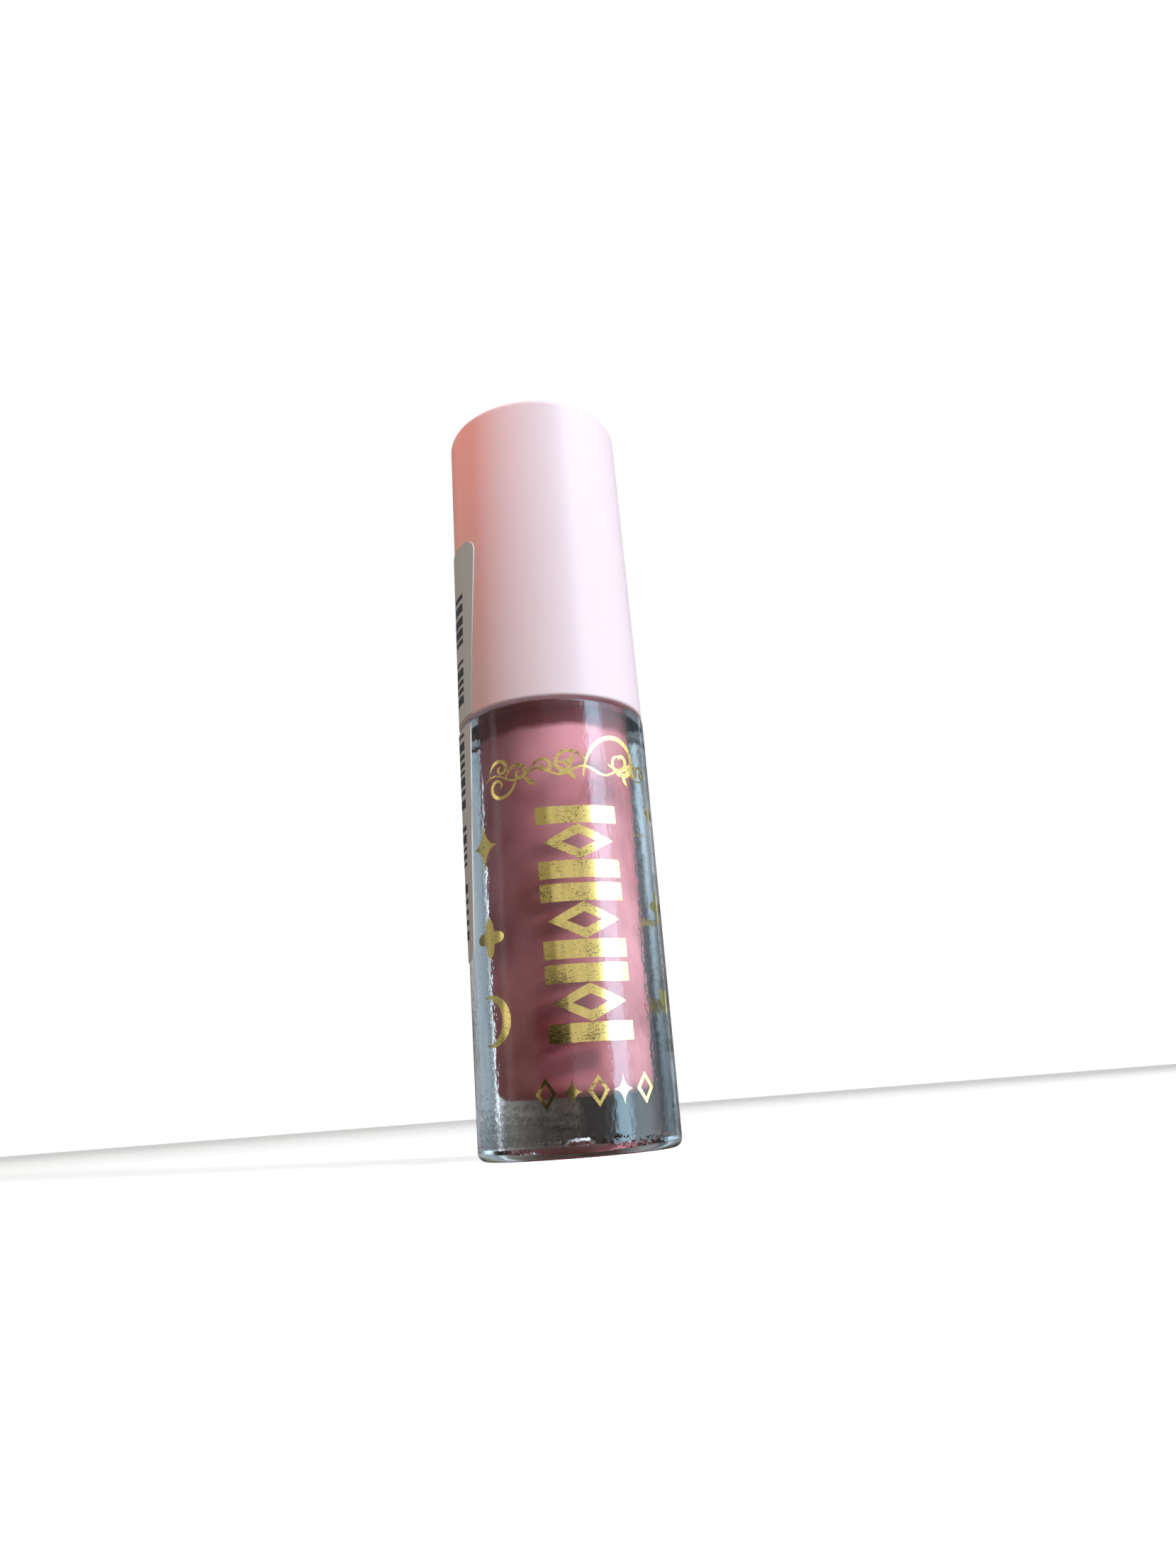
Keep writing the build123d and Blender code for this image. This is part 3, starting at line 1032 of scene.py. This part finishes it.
# %% Draw the strokes
def ribbon(path, widths):
    """The outline of a pen stroke from its path and its width at each point."""
    left = []
    right = []
    for index, (x, z) in enumerate(path):
        before = path[max(index - 1, 0)]
        after = path[min(index + 1, len(path) - 1)]
        length = math.hypot(after[0] - before[0], after[1] - before[1])
        side = (-(after[1] - before[1]) / length, (after[0] - before[0]) / length)
        half = widths[index] / 2
        left.append((x + side[0] * half, z + side[1] * half))
        right.append((x - side[0] * half, z - side[1] * half))
    return left + right[::-1]


def swelling(steps, thick, thin=0.12, peak=0.45):
    """Widths that grow from thin to thick at the peak, and thin out again."""
    shares = [step / steps for step in range(steps + 1)]
    rise = [share / peak if share < peak else (1 - share) / (1 - peak) for share in shares]
    return [thin + (thick - thin) * math.sin(r * math.pi / 2) for r in rise]


def tendril(start, heading, length, turns, thick, steps=46):
    """A curl: negative turns wind clockwise. The pen's steps shorten as it winds in."""
    x, z = start
    path = [(x, z)]
    for step in range(steps):
        share = (step + 0.5) / steps
        angle = math.radians(heading) + math.tau * turns * share**1.35
        pace = length / steps * 1.6 * (1 - 0.75 * share)
        x += math.cos(angle) * pace
        z += math.sin(angle) * pace
        path.append((x, z))
    return ribbon(path, swelling(steps, thick))


def leaf(root, length, width, angle, steps=12):
    """A pointed leaf."""
    turn = math.radians(angle)
    shares = [step / steps for step in range(steps + 1)]
    upper = [(length * s, width / 2 * math.sin(math.pi * s) ** 1.2) for s in shares]
    lower = [(x, -y) for x, y in upper[-2:0:-1]]
    along = (math.cos(turn), math.sin(turn))
    return [
        (root[0] + x * along[0] - y * along[1], root[1] + x * along[1] + y * along[0])
        for x, y in upper + lower
    ]


print("widths along a stroke", [round(width, 2) for width in swelling(6, 0.30)], "mm")

# %% [markdown]
# ## The vine
# The vine is a slow wave. Tendrils and leaves grow from it, each given by its root, its heading in
# degrees, its length and its thickness, in millimetres. Every stroke lies a hair higher than the
# one before, so that two strokes that cross never share a surface. All are joined into one piece.

# %% Print the flourish
vine_left = -6.1
vine_right = 8.9
vine_height = 29.0
vine_wave = 3.75
vine_swing = 0.34
vine_steps = 120
vine_path = []
for step in range(vine_steps + 1):
    along = vine_left + (vine_right - vine_left) * step / vine_steps
    rise = vine_swing * math.sin(math.tau * (along - vine_left) / vine_wave)
    vine_path.append((along, vine_height + rise))

strokes = [
    ribbon(vine_path, swelling(vine_steps, 0.20, 0.11)),
    tendril((-5.7, 29.3), 82, 4.3, -1.3, 0.30),
    tendril((-4.1, 28.8), 75, 4.3, -1.3, 0.30),
    tendril((-3.1, 29.0), -100, 5.6, -1.15, 0.30),
    tendril((-1.9, 29.1), 75, 3.9, -1.3, 0.24),
    tendril((-0.4, 28.9), 70, 3.6, -1.3, 0.22),
    tendril((2.3, 28.5), 82, 12.6, -1.3, 0.44),
    tendril((2.6, 29.8), 128, 5.8, 1.3, 0.30),
    tendril((4.6, 29.6), -38, 3.6, 0.9, 0.38),
    tendril((6.4, 28.9), 80, 3.8, -1.3, 0.28),
    tendril((7.7, 29.2), 72, 3.4, -1.3, 0.26),
    leaf((-2.5, 28.75), 1.3, 0.42, -40),
    leaf((0.9, 29.2), 1.3, 0.42, -52),
    leaf((1.2, 29.3), 1.2, 0.40, 70),
    leaf((5.9, 28.9), 1.1, 0.40, -62),
]
stroke_pieces = []
for index, stroke in enumerate(strokes):
    plate = flat_plate(f"stroke_{index}", [stroke])
    stroke_pieces.append(printed(plate, gold_foil, barrel_radius, lift=0.012 + 0.003 * index, thick=0.05))


def joined(name, pieces):
    """Joins finished pieces into one object."""
    whole = bmesh.new()
    for piece in pieces:
        whole.from_mesh(piece.data)
    mesh = bpy.data.meshes.new(name)
    whole.to_mesh(mesh)
    whole.free()
    mesh.materials.append(pieces[0].data.materials[0])
    for piece in pieces:
        bpy.data.objects.remove(piece)
    soften(mesh)
    return shown(name, mesh)


foil_flourish = joined("foil_flourish", stroke_pieces)
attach(foil_flourish, "bottle")
print("flourish", len(strokes), "strokes,", len(foil_flourish.data.polygons), "faces")

# %% [markdown]
# ## The shade label
# The label is a coated paper sticker. Paper is never one colour close up: fibres make it a little
# cloudy, and the coating is slightly uneven. The ink is black and matt, with a slightly broken solid.

# %% Make the label paper and its ink
def make_label_paper():
    """Coated white paper."""
    material, tree, shader, _ = plain_material("label_paper")
    place = object_place(tree)
    fibres = noise_node(tree, stretched(tree, place, (1, 1, 0.3)), 6000.0, 4.0, 0.7)
    clouds = noise_node(tree, place, 300.0, 3.0, 0.6)
    half_clouds = math_node(tree, "MULTIPLY", clouds, 0.5)
    cloudy = math_node(tree, "ADD", math_node(tree, "MULTIPLY", fibres, 0.5), half_clouds)
    fill_inputs(tree, shader, {
        "Base Color": colour_mix(tree, cloudy, (0.84, 0.82, 0.79), (0.96, 0.95, 0.93)),
        "Roughness": 0.5,
        "Specular IOR Level": 0.35,
        "Normal": bumped(tree, fibres, 0.008 * MM),
    })
    return material


def make_label_ink():
    """Black thermal print with a slightly broken solid."""
    material, tree, shader, _ = plain_material("label_ink")
    dots = noise_node(tree, object_place(tree), 7000.0, 2.0)
    fill_inputs(tree, shader, {
        "Base Color": colour_mix(tree, dots, (0.012, 0.012, 0.014), (0.07, 0.07, 0.075)),
        "Roughness": 0.55,
    })
    return material


label_paper = make_label_paper()
label_ink = make_label_ink()
dress("label_lower", label_paper)
dress("label_upper", label_paper)

# %% [markdown]
# ## The bars on the label
# The print is a plain pattern of bars and rows of dashes, drawn in the label's own leaning axes and
# wrapped with the same tree as the foil. A fixed seed draws their thicknesses and lengths. The label
# is slit at the joint, so each half keeps the marks that lie wholly on it, and the cap carries its
# half away.

# %% Print the bars
def label_wall(node):
    """The label's outer radius at height zero and its change per metre up, from its own points."""
    points = [v.co for v in nodes[node].data.vertices]
    low = min(p.z for p in points)
    high = max(p.z for p in points)
    band = (high - low) * 0.2
    low_radius = max(math.hypot(p.x, p.y) for p in points if p.z < low + band)
    high_radius = max(math.hypot(p.x, p.y) for p in points if p.z > high - band)
    draft = (high_radius - low_radius) / (high - low)
    return low_radius - draft * low, draft


lower_low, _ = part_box("label_lower")
_, upper_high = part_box("label_upper")
label_lean = math.radians(3.5)
label_azimuth = math.radians(-90)
label_middle = (lower_low.z + upper_high.z) / 2 / MM
label_across = label_azimuth * barrel_radius / MM


def on_label(outline):
    """An outline in the label's own leaning axes, moved to the wall's flat axes."""
    lean_cos = math.cos(label_lean)
    lean_sin = math.sin(label_lean)
    return [
        (label_across + x * lean_cos + z * lean_sin, label_middle - x * lean_sin + z * lean_cos)
        for x, z in outline
    ]


bar_rng = random.Random(21)
bars = []
bar_left = 1.15
bar_right = 3.25
bar_top = 13.6
bar_bottom = -16.4
group_gap = 1.5
group_left = 5
while bar_top > bar_bottom:
    bar_thick = bar_rng.choice((0.28, 0.42, 0.42, 0.75))
    bars.append(block(bar_left, bar_right, bar_top - bar_thick, bar_top))
    group_left -= 1
    bar_top -= bar_thick + (group_gap if group_left == 0 else bar_rng.choice((0.3, 0.45)))
    if group_left == 0:
        group_left = bar_rng.choice((5, 7, 9))
dash_rows = 4
dash_row_pitch = 0.95
dash_left = -0.5
dash_right = -0.1
dash_bottom = -15.0
dash_gap = 0.45
for row in range(dash_rows):
    row_shift = dash_row_pitch * row
    dash_top = 12.0
    while dash_top > dash_bottom:
        dash_long = bar_rng.choice((0.8, 1.3, 2.1, 2.8))
        bars.append(block(dash_left - row_shift, dash_right - row_shift, dash_top - dash_long, dash_top))
        dash_top -= dash_long + dash_gap
ink_margin = 0.25


def ink_piece(name, node, body):
    """The bars that lie wholly on one half of the label."""
    low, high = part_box(node)
    inside = []
    for outline in (on_label(flat_bar) for flat_bar in bars):
        heights = [z for _, z in outline]
        if min(heights) > low.z / MM + ink_margin and max(heights) < high.z / MM - ink_margin:
            inside.append(outline)
    radius, draft = label_wall(node)
    piece = printed(flat_plate(name, inside), label_ink, radius, lift=0.006, thick=0.012, draft=draft)
    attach(piece, body)
    print(name, len(inside), "marks")


ink_piece("label_ink_lower", "label_lower", "bottle")
ink_piece("label_ink_upper", "label_upper", "cap")

# %% [markdown]
# ## The flocked tip
# The wand's tip is coated with short nylon fibres, shot on end into glue and then wet with gloss.
# Geometry Nodes scatter points over the sleeve and stand a four-sided needle on each, leaning by a
# random few degrees.

# %% Build the flocking tree
flocking, flock_ids, flock_in = make_tree("flocking", "Fibres", {
    "Sleeve": "Geometry",
    "Density": "Float",
    "Fibre Length": "Float",
    "Fibre Radius": "Float",
    "Lean": "Float",
    "Material": "Material",
})
scatter = add_node(flocking, "GeometryNodeDistributePointsOnFaces", {
    "Seed": 7,
    "Mesh": flock_in["Sleeve"],
    "Density": flock_in["Density"],
})
fibre = {"Vertices": 4, "Radius Bottom": flock_in["Fibre Radius"], "Depth": flock_in["Fibre Length"]}
needle = add_node(flocking, "GeometryNodeMeshCone", fibre, fill_type="NONE")
upright = add_node(flocking, "GeometryNodeInstanceOnPoints", {
    "Points": scatter.outputs["Points"],
    "Instance": needle.outputs["Mesh"],
    "Rotation": scatter.outputs["Rotation"],
})
back_lean = math_node(flocking, "MULTIPLY", flock_in["Lean"], -1)
lean_range = {"Seed": 3, "Min": back_lean, "Max": flock_in["Lean"]}
tilt = add_node(flocking, "FunctionNodeRandomValue", lean_range, data_type="FLOAT_VECTOR")
leaning = add_node(flocking, "GeometryNodeRotateInstances", {
    "Instances": upright.outputs["Instances"],
    "Rotation": tilt.outputs["Value"],
})
put_out(flocking, realised(flocking, leaning), flock_in["Material"])
print("tree", flocking.name, "inputs", list(flock_ids))

# %% [markdown]
# ## The flock's colour
# The fibres are stained by the gloss and matted in clumps, so a noise mixes a deep and a pale mauve.
# The sleeve under them wears the same material, so a gap between fibres shows the same wet colour.

# %% Grow the flock
def make_flock():
    """Nylon flock, stained and wetted by the gloss."""
    material, tree, shader, _ = plain_material("wet_flock")
    clumps = noise_node(tree, object_place(tree), 1400.0, 3.0, 0.6)
    fill_inputs(tree, shader, {
        "Base Color": colour_mix(tree, clumps, (0.44, 0.15, 0.19), (0.74, 0.44, 0.47)),
        "Roughness": 0.32,
        "Sheen Weight": 0.3,
        "Normal": bumped(tree, clumps, 0.05 * MM),
    })
    return material


wet_flock = make_flock()
dress("tip_flock", wet_flock)
fibre_sleeve = shown("flock_fibres", nodes["tip_flock"].data.copy())
run_tree(fibre_sleeve, flocking, flock_ids, {
    "Density": 4.0e7,
    "Fibre Length": 0.22 * MM,
    "Fibre Radius": 0.014 * MM,
    "Lean": 0.45,
    "Material": wet_flock,
})
settled(fibre_sleeve)
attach(fibre_sleeve, "cap")
print("flock", len(fibre_sleeve.data.polygons), "faces")

# %% [markdown]
# ## The gloss on the wand
# When the wand comes out, a film of gloss stays on the lower stem. It is a thin sleeve with an uneven
# upper edge, where the wiper let go of it. Each column of the sleeve ends at its own height, from a
# few sine waves, and the film thins to nothing there.

# %% Coat the stem
stem_radius = 1.6 * MM
film_thick = 0.16
film_root = 0.06 * MM
film_low_z = stem_low_z - 0.3 * MM
film_top_z = stem_low_z + 9.0 * MM
film_columns = 48
film_rows = 14
film_verts = []
for column in range(film_columns):
    turn = math.tau * column / film_columns
    ragged = 1.1 * math.sin(2 * turn + 0.6) + 0.7 * math.sin(5 * turn) + 0.35 * math.sin(9 * turn + 2)
    column_rise = film_top_z + ragged * MM - film_low_z
    outer = []
    inner = []
    for row in range(film_rows + 1):
        row_share = row / film_rows
        height = film_low_z + column_rise * row_share
        swell = film_thick + 0.05 * math.sin(3 * turn + 11 * row_share)
        outer.append((stem_radius + swell * MM * math.sqrt(1 - row_share), height))
        inner.append((stem_radius - film_root, height))
    for radius, height in outer + inner[::-1]:
        film_verts.append((radius * math.cos(turn), radius * math.sin(turn), height))
column_size = 2 * (film_rows + 1)
film_faces = []
for column in range(film_columns):
    here = column * column_size
    there = (column + 1) % film_columns * column_size
    for row in range(column_size):
        after = (row + 1) % column_size
        film_faces.append((here + row, there + row, there + after, here + after))
wand_film = mesh_object("wand_gloss_film", film_verts, film_faces)
soften(wand_film.data, 60)
wand_film.data.materials.append(make_gloss("wet_gloss", 0.12, 0.5))
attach(wand_film, "cap")
print("wand film", len(film_faces), "faces, up to", round(film_top_z / MM, 1), "mm")
